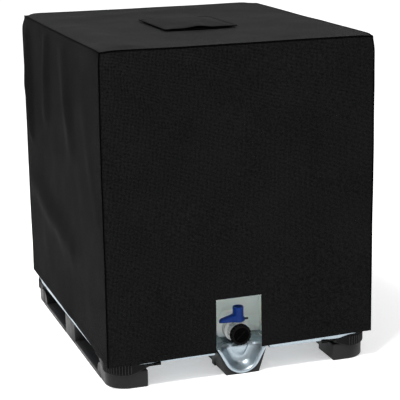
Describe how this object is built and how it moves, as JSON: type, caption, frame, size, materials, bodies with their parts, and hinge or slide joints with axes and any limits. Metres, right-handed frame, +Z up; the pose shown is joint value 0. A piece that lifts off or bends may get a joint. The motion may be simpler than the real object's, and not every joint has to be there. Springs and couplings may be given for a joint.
{
  "type": "intermediate bulk container",
  "caption": "Plastic bulk liquid container in a galvanised tube cage on a composite pallet, with a quarter-turn outlet valve, under a fitted fabric cover with a top flap.",
  "frame": {"origin": "centre of the pallet's footprint, on the floor that the feet stand on", "axes": "+Z up, -Y towards the outlet valve, +X to the right of a person who faces the valve"},
  "size_m": [1.012, 1.212, 1.2104],
  "materials": {
    "cover_fabric": "coated woven polyester, matt",
    "piping": "woven tape, matt",
    "hook_and_loop": "woven hook and loop tape",
    "pallet_plastic": "recycled polyethylene, matt",
    "galvanised_steel": "galvanised",
    "zinc_fasteners": "zinc plated",
    "bottle_plastic": "natural blow moulded polyethylene",
    "valve_plastic": "moulded polypropylene, natural",
    "disc_plastic": "moulded polypropylene",
    "lever_plastic": "moulded polypropylene, satin",
    "dark_screw": "black oxide",
    "cap_plastic": "moulded polyethylene",
    "seal_rubber": "moulded rubber"
  },
  "bodies": {
    "container": {"base_ring": "galvanised_steel", "bottle": "bottle_plastic", "cage_ring_1": "galvanised_steel", "cage_ring_2": "galvanised_steel", "cage_ring_3": "galvanised_steel", "cage_ring_4": "galvanised_steel", "cage_ring_5": "galvanised_steel", "cage_uprights_front": "galvanised_steel", "cage_uprights_left": "galvanised_steel", "cage_uprights_rear": "galvanised_steel", "cage_uprights_right": "galvanised_steel", "centre_foot_front": "pallet_plastic", "centre_foot_rear": "pallet_plastic", "corner_foot_front_left": "pallet_plastic", "corner_foot_front_right": "pallet_plastic", "corner_foot_rear_left": "pallet_plastic", "corner_foot_rear_right": "pallet_plastic", "corner_guard_front_left": "pallet_plastic", "corner_guard_front_right": "pallet_plastic", "corner_guard_rear_left": "pallet_plastic", "corner_guard_rear_right": "pallet_plastic", "cross_tube_front": "galvanised_steel", "cross_tube_middle": "galvanised_steel", "cross_tube_rear": "galvanised_steel", "deck_sheet": "galvanised_steel", "front_trough": "galvanised_steel", "label_plate": "galvanised_steel", "middle_block": "pallet_plastic", "neck_seal": "seal_rubber", "side_block_left": "pallet_plastic", "side_block_right": "pallet_plastic", "skids_centre": "pallet_plastic", "skids_left": "pallet_plastic", "skids_right": "pallet_plastic", "top_bar_front": "galvanised_steel", "top_bar_rear": "galvanised_steel", "top_bar_screws": "zinc_fasteners", "trough_bolt": "zinc_fasteners", "union_nut": "bottle_plastic", "valve_body": "valve_plastic"},
    "cover": {"cover_front_panel": "cover_fabric", "cover_left_panel": "cover_fabric", "cover_piping": "piping", "cover_rear_panel": "cover_fabric", "cover_right_panel": "cover_fabric", "cover_top_panel": "cover_fabric", "flap_loop_strip": "hook_and_loop"},
    "flap": {"cover_flap": "cover_fabric", "flap_hook_strip": "hook_and_loop"},
    "lever": {"valve_lever": "lever_plastic", "valve_stem": "zinc_fasteners", "valve_disc": "disc_plastic", "lever_screw": "dark_screw"},
    "cap_seal": {"cap_seal": "seal_rubber"},
    "outlet_cap": {"outlet_cap": "cap_plastic"},
    "lid_gasket": {"lid_gasket": "seal_rubber"},
    "fill_lid": {"fill_lid": "cap_plastic"}
  },
  "joints": [
    {"name": "cover_lift", "type": "slide", "parent": "container", "child": "cover", "axis": [0, 0, 1], "range_m": [0, 1.1]},
    {"name": "flap_hinge", "type": "hinge", "parent": "cover", "child": "flap", "pos_m": [0, 0.15, 1.2104], "axis": [-1, 0, 0], "range_deg": [0, 170]},
    {"name": "lever_turn", "type": "hinge", "parent": "container", "child": "lever", "pos_m": [0, -0.552, 0.142], "axis": [0, 0, 1], "range_deg": [0, 90]},
    {"name": "cap_travel", "type": "slide", "parent": "container", "child": "cap_seal", "axis": [0, -1, 0], "range_m": [0, 0.009]},
    {"name": "cap_turn", "type": "hinge", "parent": "cap_seal", "child": "outlet_cap", "pos_m": [0, -0.576, 0.142], "axis": [0, -1, 0], "range_deg": [0, 540]},
    {"name": "lid_travel", "type": "slide", "parent": "container", "child": "lid_gasket", "axis": [0, 0, 1], "range_m": [0, 0.009]},
    {"name": "lid_turn", "type": "hinge", "parent": "lid_gasket", "child": "fill_lid", "pos_m": [0, 0, 1.18], "axis": [0, 0, 1], "range_deg": [0, 540]}
  ],
  "couplings": [
    {"joint": "cap_travel", "follows": "cap_turn", "m_per_rad": 0.00095493},
    {"joint": "lid_travel", "follows": "lid_turn", "m_per_rad": 0.00095493}
  ]
}
